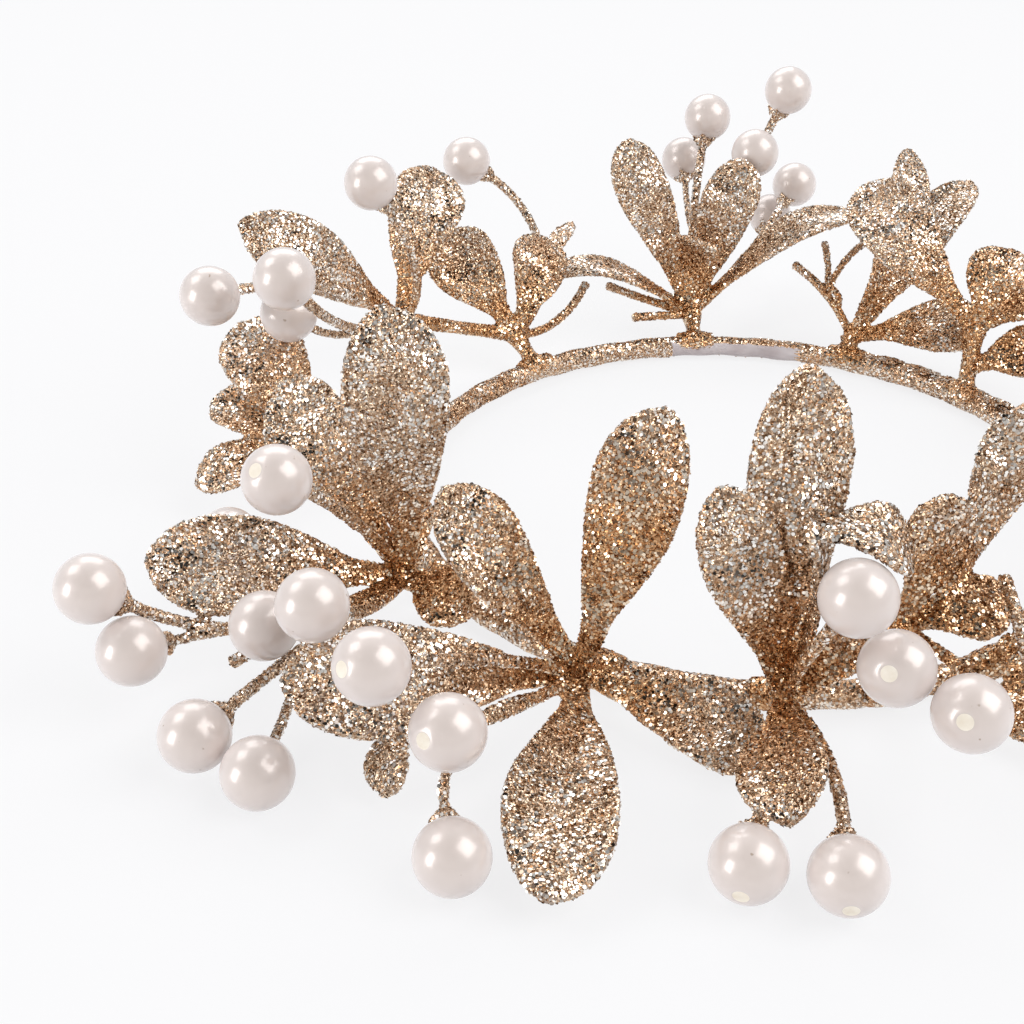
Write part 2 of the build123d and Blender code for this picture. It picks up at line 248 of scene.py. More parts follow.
def make_flake_scatter():
    """Geometry nodes that set five-sided chips at random in a surface, leaning in waves."""
    tree = bpy.data.node_groups.new("flake scatter", "GeometryNodeTree")
    tree.interface.new_socket("Geometry", in_out="INPUT", socket_type="NodeSocketGeometry")
    tree.interface.new_socket("Geometry", in_out="OUTPUT", socket_type="NodeSocketGeometry")
    nodes = tree.nodes
    links = tree.links
    surface = nodes.new("NodeGroupInput")
    spots = nodes.new("GeometryNodeDistributePointsOnFaces")
    spots.name = "spots"
    spots.inputs["Density"].default_value = FLAKES_PER_SQUARE_METRE
    links.new(surface.outputs["Geometry"], spots.inputs["Mesh"])
    tilt = nodes.new("FunctionNodeRandomValue")
    tilt.data_type = "FLOAT_VECTOR"
    tilt.inputs[0].default_value = (-FLAKE_TILT, -FLAKE_TILT, 0.0)
    tilt.inputs[1].default_value = (FLAKE_TILT, FLAKE_TILT, 0.0)
    looseness = nodes.new("FunctionNodeRandomValue")
    looseness.data_type = "FLOAT"
    looseness.inputs[2].default_value = FLAKE_LOOSENESS[0]
    looseness.inputs[3].default_value = FLAKE_LOOSENESS[1]
    looseness.inputs["Seed"].default_value = LOOSENESS_SEED
    loose_tilt = nodes.new("ShaderNodeVectorMath")
    loose_tilt.operation = "SCALE"
    links.new(tilt.outputs[0], loose_tilt.inputs[0])
    links.new(looseness.outputs[1], loose_tilt.inputs["Scale"])
    waves = nodes.new("ShaderNodeTexNoise")
    waves.inputs["Scale"].default_value = WAVES_PER_METRE
    waves.inputs["Detail"].default_value = 1.0
    wave_tilt = nodes.new("ShaderNodeVectorMath")
    wave_tilt.operation = "MULTIPLY_ADD"
    wave_tilt.inputs[1].default_value = (WAVE_TILT, WAVE_TILT, 0.0)
    wave_tilt.inputs[2].default_value = (-WAVE_TILT / 2, -WAVE_TILT / 2, 0.0)
    links.new(waves.outputs["Color"], wave_tilt.inputs[0])
    whole_tilt = nodes.new("ShaderNodeVectorMath")
    links.new(loose_tilt.outputs["Vector"], whole_tilt.inputs[0])
    links.new(wave_tilt.outputs["Vector"], whole_tilt.inputs[1])
    tilt_turn = nodes.new("FunctionNodeEulerToRotation")
    links.new(whole_tilt.outputs["Vector"], tilt_turn.inputs["Euler"])
    lean = nodes.new("FunctionNodeRotateRotation")
    lean.rotation_space = "LOCAL"
    links.new(spots.outputs["Rotation"], lean.inputs["Rotation"])
    links.new(tilt_turn.outputs["Rotation"], lean.inputs["Rotate By"])
    spin = nodes.new("FunctionNodeRandomValue")
    spin.data_type = "FLOAT_VECTOR"
    spin.inputs[0].default_value = (0.0, 0.0, -pi)
    spin.inputs[1].default_value = (0.0, 0.0, pi)
    spin_turn = nodes.new("FunctionNodeEulerToRotation")
    links.new(spin.outputs[0], spin_turn.inputs["Euler"])
    lie = nodes.new("FunctionNodeRotateRotation")
    lie.rotation_space = "LOCAL"
    links.new(lean.outputs["Rotation"], lie.inputs["Rotation"])
    links.new(spin_turn.outputs["Rotation"], lie.inputs["Rotate By"])
    flake = nodes.new("GeometryNodeMeshCone")
    flake.fill_type = "NGON"
    flake.inputs["Vertices"].default_value = FLAKE_CORNERS
    flake.inputs["Radius Top"].default_value = FLAKE_RADIUS
    flake.inputs["Radius Bottom"].default_value = 0.0
    flake.inputs["Depth"].default_value = FLAKE_DEPTH
    size = nodes.new("FunctionNodeRandomValue")
    size.data_type = "FLOAT"
    size.inputs[2].default_value = FLAKE_SIZES[0]
    size.inputs[3].default_value = FLAKE_SIZES[1]
    copies = nodes.new("GeometryNodeInstanceOnPoints")
    links.new(spots.outputs["Points"], copies.inputs["Points"])
    links.new(flake.outputs["Mesh"], copies.inputs["Instance"])
    links.new(lie.outputs["Rotation"], copies.inputs["Rotation"])
    links.new(size.outputs[1], copies.inputs["Scale"])
    lift = nodes.new("GeometryNodeTranslateInstances")
    lift.inputs["Translation"].default_value = (0.0, 0.0, FLAKE_LIFT)
    links.new(copies.outputs["Instances"], lift.inputs["Instances"])
    real = nodes.new("GeometryNodeRealizeInstances")
    links.new(lift.outputs["Instances"], real.inputs["Geometry"])
    result = nodes.new("NodeGroupOutput")
    links.new(real.outputs["Geometry"], result.inputs["Geometry"])
    return tree


flake_scatter = make_flake_scatter()


def scatter_flakes(bed, seed, bare):
    """A copy of the bed, without its bare part, turned into the flakes that lie on it."""
    only(bed)
    bpy.ops.object.duplicate()
    flakes = bpy.context.object
    if bare.any():
        pick_corners(flakes, bare)
        bpy.ops.mesh.delete(type="VERT")
        bpy.ops.object.mode_set(mode="OBJECT")
    flake_scatter.nodes["spots"].inputs["Seed"].default_value = seed
    finish_with(flakes, "NODES", node_group=flake_scatter)
    return flakes


def make_glitter_tones():
    """Colour and gloss of a facet from its own shade, darkened toward copper near the hub as painted
    shade.
    """
    tree = bpy.data.node_groups.new("glitter tones", "ShaderNodeTree")
    tree.interface.new_socket("Shade", in_out="INPUT", socket_type="NodeSocketFloat")
    for name in ("Dark", "Light", "Copper and shade"):
        tree.interface.new_socket(name, in_out="INPUT", socket_type="NodeSocketColor")
    tree.interface.new_socket("Color", in_out="OUTPUT", socket_type="NodeSocketColor")
    tree.interface.new_socket("Gloss", in_out="OUTPUT", socket_type="NodeSocketFloat")
    nodes = tree.nodes
    links = tree.links
    given = nodes.new("NodeGroupInput")
    tone = nodes.new("ShaderNodeMix")
    tone.data_type = "RGBA"
    links.new(given.outputs["Shade"], tone.inputs[0])
    links.new(given.outputs["Dark"], tone.inputs[6])
    links.new(given.outputs["Light"], tone.inputs[7])
    # Painted shade: the tone is multiplied toward the copper colour by the hub mask.
    copper_and_shade = nodes.new("ShaderNodeAttribute")
    copper_and_shade.attribute_name = "flake_copper_and_shade"
    copper_shading = nodes.new("ShaderNodeMix")
    copper_shading.data_type = "RGBA"
    copper_shading.blend_type = "MULTIPLY"
    links.new(copper_and_shade.outputs["Fac"], copper_shading.inputs[0])
    links.new(tone.outputs[2], copper_shading.inputs[6])
    links.new(given.outputs["Copper and shade"], copper_shading.inputs[7])
    gloss = nodes.new("ShaderNodeAttribute")
    gloss.attribute_name = "flake_gloss"
    result = nodes.new("NodeGroupOutput")
    links.new(copper_shading.outputs[2], result.inputs["Color"])
    links.new(gloss.outputs["Fac"], result.inputs["Gloss"])
    return tree


glitter_tones = make_glitter_tones()


def glitter_material(name, dark, light, copper_and_shade_colour, smoothest, roughest):
    """Metal glitter with the facets' own shades, and the node that mixes them."""
    material = bpy.data.materials.new(name)
    material.use_nodes = True
    nodes = material.node_tree.nodes
    links = material.node_tree.links
    surface = nodes["Principled BSDF"]
    surface.inputs["Metallic"].default_value = 1.0
    tones = nodes.new("ShaderNodeGroup")
    tones.node_tree = glitter_tones
    tones.inputs["Dark"].default_value = dark
    tones.inputs["Light"].default_value = light
    tones.inputs["Copper and shade"].default_value = copper_and_shade_colour
    shade = nodes.new("ShaderNodeAttribute")
    shade.attribute_name = "flake_shade"
    links.new(shade.outputs["Fac"], tones.inputs["Shade"])
    links.new(tones.outputs["Color"], surface.inputs["Base Color"])
    roughness = nodes.new("ShaderNodeMapRange")
    roughness.inputs["To Min"].default_value = smoothest
    roughness.inputs["To Max"].default_value = roughest
    links.new(tones.outputs["Gloss"], roughness.inputs["Value"])
    links.new(roughness.outputs["Result"], surface.inputs["Roughness"])
    return material, tones


def add_fine_grain(material, tones):
    """Breaks the facets up into the finest specks, each with its own shade and tilt."""
    nodes = material.node_tree.nodes
    links = material.node_tree.links
    spot = nodes.new("ShaderNodeTexCoord")
    specks = nodes.new("ShaderNodeTexVoronoi")
    specks.inputs["Scale"].default_value = GRAINS_PER_METRE
    links.new(spot.outputs["Object"], specks.inputs["Vector"])
    parts = nodes.new("ShaderNodeSeparateColor")
    links.new(specks.outputs["Color"], parts.inputs["Color"])
    shade = nodes.new("ShaderNodeMath")
    shade.operation = "POWER"
    shade.inputs[1].default_value = GRAIN_DARKENING
    links.new(parts.outputs["Red"], shade.inputs[0])
    links.new(shade.outputs[0], tones.inputs["Shade"])
    tilt = nodes.new("ShaderNodeVectorMath")
    tilt.operation = "MULTIPLY_ADD"
    tilt.inputs[1].default_value = (GRAIN_TILT, GRAIN_TILT, GRAIN_TILT)
    tilt.inputs[2].default_value = (-GRAIN_TILT / 2, -GRAIN_TILT / 2, -GRAIN_TILT / 2)
    links.new(specks.outputs["Color"], tilt.inputs[0])
    facet = nodes.new("ShaderNodeNewGeometry")
    tilted = nodes.new("ShaderNodeVectorMath")
    links.new(facet.outputs["Normal"], tilted.inputs[0])
    links.new(tilt.outputs["Vector"], tilted.inputs[1])
    unit = nodes.new("ShaderNodeVectorMath")
    unit.operation = "NORMALIZE"
    links.new(tilted.outputs["Vector"], unit.inputs[0])
    links.new(unit.outputs["Vector"], nodes["Principled BSDF"].inputs["Normal"])


def add_painted_glint_flakes(material, tones):
    """Turns a few flakes, fewer in the painted shade near a hub, into white ones that are not metal:
    painted glints.
    """
    nodes = material.node_tree.nodes
    links = material.node_tree.links
    copper_and_shade = nodes.new("ShaderNodeAttribute")
    copper_and_shade.attribute_name = "flake_copper_and_shade"
    limit = nodes.new("ShaderNodeMapRange")
    limit.inputs["To Min"].default_value = 1.0 - PAINTED_GLINT_SHARE
    limit.inputs["To Max"].default_value = 1.0
    links.new(copper_and_shade.outputs["Fac"], limit.inputs["Value"])
    # Painted glints: these flakes are white under any light, as if they caught a lamp.
    white = nodes.new("ShaderNodeMath")
    white.operation = "GREATER_THAN"
    links.new(tones.outputs["Gloss"], white.inputs[0])
    links.new(limit.outputs["Result"], white.inputs[1])
    colour = nodes.new("ShaderNodeMix")
    colour.data_type = "RGBA"
    colour.inputs[7].default_value = PAINTED_GLINT_COLOUR
    links.new(white.outputs[0], colour.inputs[0])
    links.new(tones.outputs["Color"], colour.inputs[6])
    links.new(colour.outputs[2], nodes["Principled BSDF"].inputs["Base Color"])
    metal = nodes.new("ShaderNodeMath")
    metal.operation = "SUBTRACT"
    metal.inputs[0].default_value = 1.0
    links.new(white.outputs[0], metal.inputs[1])
    links.new(metal.outputs[0], nodes["Principled BSDF"].inputs["Metallic"])


# The copper colour is the painted shade near a hub, and an even tint on pieces without one.
glitter_bed, bed_tones = glitter_material(
    "champagne glitter bed",
    dark=(0.36, 0.18, 0.08, 1.0),
    light=(1.0, 0.84, 0.66, 1.0),
    copper_and_shade_colour=(0.92, 0.71, 0.50, 1.0),
    smoothest=0.2,
    roughest=0.4,
)
add_fine_grain(glitter_bed, bed_tones)
glitter_flakes, flake_tones = glitter_material(
    "champagne glitter flakes",
    dark=(0.27, 0.175, 0.115, 1.0),
    light=(1.0, 0.965, 0.91, 1.0),
    copper_and_shade_colour=(0.92, 0.78, 0.62, 1.0),
    smoothest=0.03,
    roughest=0.12,
)
add_painted_glint_flakes(glitter_flakes, flake_tones)


def cover_with_glitter(bed, name, seed, hubs=(), bare=None):
    """Flakes on the bed, then the tossed bed, as one piece with two materials."""
    if bare is None:
        bare = np.zeros(len(bed.data.vertices), bool)
    flakes = scatter_flakes(bed, seed, bare)
    flakes.data.materials.clear()
    flakes.data.materials.append(glitter_flakes)
    tone_flakes(flakes, seed + FLAKE_TONE_SEED, hubs)
    toss_bed(bed, seed, bare)
    bed.data.materials.clear()
    bed.data.materials.append(glitter_bed)
    tone_flakes(bed, seed + BED_TONE_SEED, hubs)
    return join([bed, flakes], name)


def in_bare_stretch(places):
    """Which places lie on the bare stretch inside the back of the hoop."""
    turn = np.degrees(np.arctan2(places[:, 1], places[:, 0])) % 360
    inward = HOOP_RADIUS - np.hypot(places[:, 0], places[:, 1])
    low = places[:, 2] < BARE_TOP
    return (turn > BARE_FROM) & (turn < BARE_TO) & (inward > BARE_INSIDE) & low


bpy.ops.object.select_all(action="DESELECT")
bpy.ops.mesh.primitive_torus_add(
    major_radius=HOOP_RADIUS,
    minor_radius=HOOP_SECTION,
    major_segments=800,
    minor_segments=26,
    location=(0.0, 0.0, HOOP_HEIGHT),
)
hoop = join([bpy.context.object], "hoop_sheath_glitter")
places = corners(hoop)
around = np.arctan2(places[:, 1], places[:, 0])
climb = np.arctan2(places[:, 2] - HOOP_HEIGHT, np.hypot(places[:, 0], places[:, 1]) - HOOP_RADIUS)
middle = np.stack(
    [HOOP_RADIUS * np.cos(around), HOOP_RADIUS * np.sin(around), np.full(len(around), HOOP_HEIGHT)], 1
)
fine = FINE_LUMP_HEIGHT * np.sin(FINE_LUMPS * around + climb)
broad = BROAD_LUMP_HEIGHT * np.sin(BROAD_LUMPS * around - 2 * climb)
uneven = 1.0 + fine + broad
set_corners(hoop, middle + (places - middle) * uneven[:, None])
hoop = cover_with_glitter(hoop, "hoop_sheath_glitter", HOOP_SEED, bare=in_bare_stretch(corners(hoop)))
hoop.data.materials.append(
    mottled_material(
        "bare lilac sheath",
        low=(0.47, 0.41, 0.42, 1.0),
        high=(0.60, 0.55, 0.56, 1.0),
        scale=350.0,
        metallic=0.0,
        smoothest=0.3,
        roughest=0.45,
    )
)
bare_faces = in_bare_stretch(face_middles(hoop))
for face in hoop.data.polygons:
    if bare_faces[face.index] and face.material_index == 0:
        face.material_index = 2
        face.use_smooth = True
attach(hoop, "root")
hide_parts("hoop_sheath")

# Splice strand
# A second strand of two twisted plies, laid along the outside of the hoop's
# butted ends and glued there, rolled in the same glitter.
STRAND_FROM = 26.5
STRAND_TO = 63.5
STRAND_OUT = 2.7 * MM
STRAND_HEIGHT = 1.8 * MM
PLY_RADIUS = 0.7 * MM
PLY_OFFSET = 0.36 * MM
PLY_TURNS = 3.0
PLY_SWELL = 0.15
STRAND_POINTS = 60
STRAND_GRAIN = 0.3 * MM
STRAND_SEED = 12


def tube(path, radii):
    """A round bar through the points of a path, with a radius at each."""
    bpy.ops.object.select_all(action="DESELECT")
    bpy.ops.curve.primitive_nurbs_path_add()
    bar = bpy.context.object
    line = bar.data
    line.splines.clear()
    spline = line.splines.new("POLY")
    spline.points.add(len(path) - 1)
    for point, spot, radius in zip(spline.points, path, radii):
        point.co = (*spot, 1.0)
        point.radius = radius / MM
    line.bevel_depth = MM
    line.bevel_resolution = 3
    line.use_fill_caps = True
    only(bar)
    bpy.ops.object.convert(target="MESH")
    return bpy.context.object


plies = []
for ply in range(2):
    path = []
    radii = []
    for k in range(STRAND_POINTS):
        share = k / (STRAND_POINTS - 1)
        turn = radians(STRAND_FROM + (STRAND_TO - STRAND_FROM) * share)
        twist = 2 * pi * PLY_TURNS * share + pi * ply
        out = HOOP_RADIUS + STRAND_OUT + PLY_OFFSET * cos(twist)
        height = STRAND_HEIGHT + PLY_OFFSET * sin(twist)
        path.append(Vector((out * cos(turn), out * sin(turn), height)))
        radii.append(PLY_RADIUS * (1 - PLY_SWELL + PLY_SWELL * sin(9 * share + 2 * ply)))
    plies.append(tube(path, radii))
strand = join(plies, "splice_strand_glitter")
finish_with(strand, "REMESH", mode="VOXEL", voxel_size=STRAND_GRAIN)
strand = cover_with_glitter(strand, "splice_strand_glitter", STRAND_SEED)
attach(strand, "root")
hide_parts("splice_strand")

# Splice bands
# Three narrow strips of crepe tape drawn over the hoop and the strand and
# glued down. They took the glitter together with the rest.
BAND_ANGLES = (28.5, 45.0, 52.0)
BAND_WIDTH = 1.6 * MM
BAND_THICKNESS = 0.4 * MM
BANDS_SEED = 13
# Points across a band, out from the hoop's centre line and up, in millimetres.
BAND_PROFILE = (
    (-0.8, 3.5),
    (-0.3, 3.65),
    (0.4, 3.65),
    (1.1, 3.4),
    (1.7, 2.95),
    (2.3, 2.5),
    (3.0, 2.3),
    (3.6, 2.05),
    (3.85, 1.65),
)

tapes = []
for angle in BAND_ANGLES:
    bpy.ops.object.select_all(action="DESELECT")
    steps = len(BAND_PROFILE) - 1
    bpy.ops.mesh.primitive_grid_add(x_subdivisions=6, y_subdivisions=steps, size=2.0)
    tape = bpy.context.object
    flat = corners(tape)
    turn = radians(angle) + flat[:, 0] * BAND_WIDTH / 2 / HOOP_RADIUS
    row = np.round((flat[:, 1] + 1) / 2 * steps).astype(int)
    profile = np.array(BAND_PROFILE)[row] * MM
    out = HOOP_RADIUS + profile[:, 0]
    set_corners(tape, np.stack([out * np.cos(turn), out * np.sin(turn), profile[:, 1]], 1))
    finish_with(tape, "SUBSURF", subdivision_type="SIMPLE", levels=1, render_levels=1)
    finish_with(tape, "SOLIDIFY", thickness=BAND_THICKNESS, offset=0.0)
    tapes.append(tape)
bands = join(tapes, "splice_bands_glitter")
bpy.ops.object.mode_set(mode="EDIT")
bpy.ops.mesh.select_all(action="SELECT")
bpy.ops.mesh.normals_make_consistent(inside=False)
bpy.ops.object.mode_set(mode="OBJECT")
bands = cover_with_glitter(bands, "splice_bands_glitter", BANDS_SEED)
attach(bands, "root")
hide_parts("splice_bands")

# Sprays
# Twelve plastic mouldings like mistletoe, each with a saddle foot glued on the
# hoop, a short stem, a whorl of spoon-shaped leaves and thin stalks that end
# in flared cups. Each is dipped in glue and rolled in champagne glitter.
PEARL_RADIUS = 4.0 * MM
LEAF_THICKNESS = 0.8 * MM
LEAF_SPOON = 0.2
TIP_CURL = 0.085
LEAF_LOWEST = 0.5 * MM
LEAF_NECK = 0.14
BLADE_SWELL = 0.85
BLADE_CLOSE = 2.9
BLADE_WIDEST = 0.593
PETIOLE_HALF_WIDTH = 0.9 * MM
PETIOLE_SPREAD = 0.3
PETIOLE_TO = 0.6
TIP_HALF_WIDTH = 0.05 * MM
EDGE_WAVE = 0.05
LONG_RIPPLE = 0.035
CROSS_RIPPLE = 0.03
CURL_FROM = 0.62
CURL_LIFT = 0.85
STALK_RADIUS = 0.7 * MM
FORK_RADIUS = 0.58 * MM
BARE_END_FLARE = 1.2
CUP_HEIGHT = 1.2 * MM
CUP_MOUTH = 1.3 * MM
CUP_REACH = 1.3
CUP_WAIST = 0.8
CUP_WAIST_AT = 0.46
SEPAL_TURN = 0.4
SEPAL_ENDS = ((0.6, 0.8), (1.7, 2.0))
SEPAL_RADII = (0.5 * MM, 0.3 * MM)
STRAIGHT_WITHIN = 0.0001 * MM
BED_GRAIN = 0.4 * MM
ARC_STEPS = 16
STEM_RADII = (1.7, 1.3, 1.2, 1.45, 1.9)
BRANCH_RADII = (1.4, 1.1, 1.05, 1.2, 1.7)
STEM_FOOT = (0.5, 0, 2.2)
SADDLE_SPOT = (0.35, 0, 2.0)
SADDLE_RADIUS = 2.1
SADDLE_TAPER = 0.1
SADDLE_STEP = 1.2
FIRST_SPRAY_SEED = 101
LEAF_SEEDS_PER_SPRAY = 20

# Points are (out, along, up) from the hoop's centre line in millimetres,
# directions are (heading, rise) in degrees. A leaf is heading, rise, length,
# width, roll and arch. A stalk is its bead's centre or its own end, its seat
# direction, and its start: a whorl, or a stalk's number and the share below the
# fork. Round a shade spot the glitter gets the same painted shade, a darker copper, as at a hub.
star_leaves = [
    (-87, 50, 26.5, 9.0, -50, 1.5),
    (129, 76, 34.0, 10.3, 65, 1.5),
    (91, -8, 23.0, 9.5, 30, 0.5),
    (21, -2, 33.8, 11.8, -5, 1.5),
    (-46, 9, 34.0, 13.0, -45, 1.5),
]
star_side_leaves = [((21.5, -13.5, 6.5), (16, -29, 11.0, 5.5, 20, 0.8))]
star_shade_spots = [(3.4, 3.2, 21.0)]
star_pearls = [
    ((32.5, -10.5, 19.5), (-20, 22), "hub"),
    ((31.5, -2.5, 13.5), (-11, 19), "hub"),
    ((38.0, 1.5, 4.1), (38, -20), (1, 0.5)),
]
fan_leaves = [
    (65, 65, 32.0, 9.0, -60, -1.5),
    (-64, 72, 27.5, 9.5, 55, -1.5),
    (-86, 32, 33.0, 10.5, 0, 2.0),
    (82, 16, 25.5, 8.5, 0, 2.2),
    (119, 84, 14.5, 9.5, 20, 1.0),
]
fan_pearls = [
    ((24.0, -3.5, 34.5), (-20, 56), "hub"),
    ((32.0, -1.0, 24.5), (-2, 34), (0, 0.5)),
    ((14.5, -10.5, 31.0), (-51, 67), "hub"),
    ((22.5, -17.0, 39.5), (-76, 66), "hub"),
    ((32.0, -22.0, 19.5), (-40, 34), "hub"),
    ((36.5, -19.0, 12.0), (-26, 23), (4, 0.45)),
]
fan_bare = [
    ((7.5, 15.0, 10.0), (85, 20), "hub"),
    ((1.5, 11.0, 6.5), (95, 0), "hub"),
    ((10.0, -9.5, 14.0), (-67, 45), "hub"),
]
plain_sprig = dict(side_leaves=[], branch=None, branch_leaves=[], pearls=[], bare=[], shade_spots=[])
sprigs = [
    dict(
        plain_sprig,
        name="sprig_01",
        angle=3.0,
        hub=(6, 0, 5),
        leaves=fan_leaves,
        pearls=fan_pearls,
        bare=fan_bare,
    ),
    dict(
        plain_sprig,
        name="sprig_02",
        angle=36.0,
        hub=(3, 2, 12),
        leaves=[
            (96, 35, 30.0, 12.0, -45, 1.5),
            (9, 50, 14.0, 10.5, 0, 1.5),
            (-20, 16, 13.5, 10.0, 10, 1.0),
        ],
        side_leaves=[((1.5, 1.0, 6.0), (-35, 14, 12.5, 9.0, 40, 1.0))],
        pearls=[
            ((24.0, -12.0, 30.0), (-39, 49), "hub"),
            ((31.0, -11.0, 20.0), (-24, 24), (0, 0.4)),
        ],
    ),
    dict(
        plain_sprig,
        name="sprig_03",
        angle=61.5,
        hub=(2, 0, 5),
        leaves=[
            (-4, 54, 33.5, 8.5, 55, 1.5),
            (-27, 43, 33.5, 9.5, 5, -1.5),
            (-75, 10, 21.5, 11.0, 30, 1.0),
        ],
        bare=[
            ((6.0, 12.5, 14.5), (85, 25), "hub"),
            ((11.0, 9.0, 17.5), (45, 55), (0, 0.55)),
            ((12.5, 2.5, 18.0), (-30, 25), (0, 0.55)),
            ((3.5, 7.0, 12.5), (100, 0), (0, 0.4)),
        ],
    ),
    dict(
        plain_sprig,
        name="sprig_04",
        angle=92.0,
        hub=(6, 0, 5),
        leaves=fan_leaves,
        pearls=fan_pearls,
        bare=fan_bare,
    ),
    dict(
        plain_sprig,
        name="sprig_05",
        angle=127.0,
        hub=(6, 0, 6),
        leaves=[
            (26, 46, 20.5, 12.0, -40, 1.5),
            (-61, 49, 17.5, 10.0, 40, 1.5),
            (-67, 34, 24.0, 3.4, 0, 1.0),
        ],
        branch=(13.0, 18.5, 11.0),
        branch_leaves=[
            (91, 40, 34.5, 10.5, -75, 2.0),
            (-55, 49, 26.5, 12.0, 20, 1.5),
        ],
        pearls=[
            ((24.5, -3.5, 30.5), (55, 35), "hub"),
            ((-18.0, 55.0, 37.0), (130, 41), "branch"),
            ((-4.0, 47.5, 25.5), (111, 40), (1, 0.35)),
            ((-5.0, 59.5, 31.5), (114, 12), "branch"),
            ((7.5, 26.0, 37.0), (50, 58), "branch"),
        ],
        bare=[((8.0, -17.0, 10.5), (-79, 45), "hub")],
    ),
    dict(
        plain_sprig,
        name="sprig_06",
        angle=178.0,
        hub=(11, 0, 6),
        leaves=[
            (23, -3, 19.5, 8.5, -15, 1.0),
            (-15, 16, 19.0, 8.5, -25, 1.0),
            (-31, 45, 22.5, 12.0, -35, 1.5),
        ],
    ),
    dict(
        plain_sprig,
        name="sprig_07",
        angle=211.0,
        hub=(6, 0, 4.5),
        leaves=[
            (16, 88, 37.0, 12.5, -125, 2.0),
            (-69, 48, 29.0, 11.0, -45, 2.0),
            (-11, 16, 32.5, 12.0, -50, 1.5),
            (-121, 60, 10.5, 6.5, 55, 1.0),
            (103, 4, 12.0, 8.5, 40, 1.0),
        ],
        pearls=[
            ((45.0, -0.5, 16.0), (-13, 38), "hub"),
            ((42.5, 3.5, 9.0), (6, 9), (0, 0.65)),
            ((40.5, 17.0, 5.5), (22, -7), "hub"),
            ((36.5, 24.5, 4.1), (52, 8), (2, 0.65)),
            ((29.0, 10.0, 11.5), (23, 30), "hub"),
            ((27.0, 20.0, 19.5), (44, 41), "hub"),
            ((24.0, 5.0, 26.5), (21, 40), "hub"),
            ((24.5, -12.5, 9.5), (-40, 18), "hub"),
        ],
        bare=[((32.5, 7.5, 6.0), (10, -5), "hub")],
    ),
    dict(
        plain_sprig,
        name="sprig_08",
        angle=242.0,
        hub=(6, 0, 4.5),
        leaves=star_leaves,
        side_leaves=star_side_leaves,
        pearls=star_pearls,
        shade_spots=star_shade_spots,
    ),
    dict(
        plain_sprig,
        name="sprig_09",
        angle=266.5,
        hub=(6, 0, 6),
        leaves=[
            (-97, 71, 27.0, 9.0, -70, 1.5),
            (-175, 82, 38.0, 10.2, -15, 1.5),
            (-8, 80, 27.0, 7.5, -90, 1.0),
            (-5, 1, 20.0, 9.5, 20, 1.0),
            (87, 50, 13.0, 5.5, 60, 0.8),
        ],
        side_leaves=[((11.5, -1.5, 30.5), (100, -15, 12.5, 8.5, 20, 2.0))],
        pearls=[
            ((30.0, -5.5, 4.1), (-15, -12), "hub"),
            ((31.0, 4.0, 4.1), (-2, -13), "hub"),
            ((15.5, 4.5, 26.0), (45, 63), "hub"),
        ],
    ),
    dict(
        plain_sprig,
        name="sprig_10",
        angle=282.0,
        hub=(1.5, -1, 12),
        leaves=[
            (94, 72, 16.5, 8.0, -95, -1.5),
            (72, 17, 12.5, 7.5, 35, 1.0),
        ],
        side_leaves=[((3.5, 3.5, 14.5), (105, 60, 26.5, 9.5, -100, 1.5))],
        pearls=[
            ((15.5, -8.0, 17.5), (-41, 25), "hub"),
            ((21.5, -2.5, 15.5), (-41, 22), "hub"),
        ],
    ),
    dict(
        plain_sprig,
        name="sprig_11",
        angle=299.0,
        hub=(3, 0, 6),
        leaves=[
            (-22, -8, 14.0, 10.0, 40, 1.5),
            (35, 25, 27.0, 9.0, 0, 1.5),
            (60, 60, 25.0, 9.5, -60, 1.5),
        ],
        pearls=[
            ((30.0, 8.0, 14.0), (15, 20), "hub"),
            ((25.0, 17.0, 24.0), (35, 40), "hub"),
        ],
        bare=[((5.0, -6.5, 19.0), (150, 10), "hub")],
    ),
    dict(
        plain_sprig,
        name="sprig_12",
        angle=331.0,
        hub=(6, 0, 4.5),
        leaves=star_leaves,
        side_leaves=star_side_leaves,
        pearls=star_pearls,
        shade_spots=star_shade_spots,
    ),
]


def hoop_axes(angle):
    """Outward, along the hoop and up, at an angle round the hoop."""
    turn = radians(angle)
    outward = Vector((cos(turn), sin(turn), 0.0))
    along = Vector((-sin(turn), cos(turn), 0.0))
    return outward, along, Vector((0.0, 0.0, 1.0))


def place(angle, point):
    """A point of the part from its spot beside the hoop."""
    outward, along, up = hoop_axes(angle)
    return outward * (HOOP_RADIUS + point[0] * MM) + along * point[1] * MM + up * point[2] * MM


def direction(angle, heading, rise):
    """A direction from its heading beside the hoop and its rise."""
    outward, along, up = hoop_axes(angle)
    level = outward * cos(radians(heading)) + along * sin(radians(heading))
    return level * cos(radians(rise)) + up * sin(radians(rise))


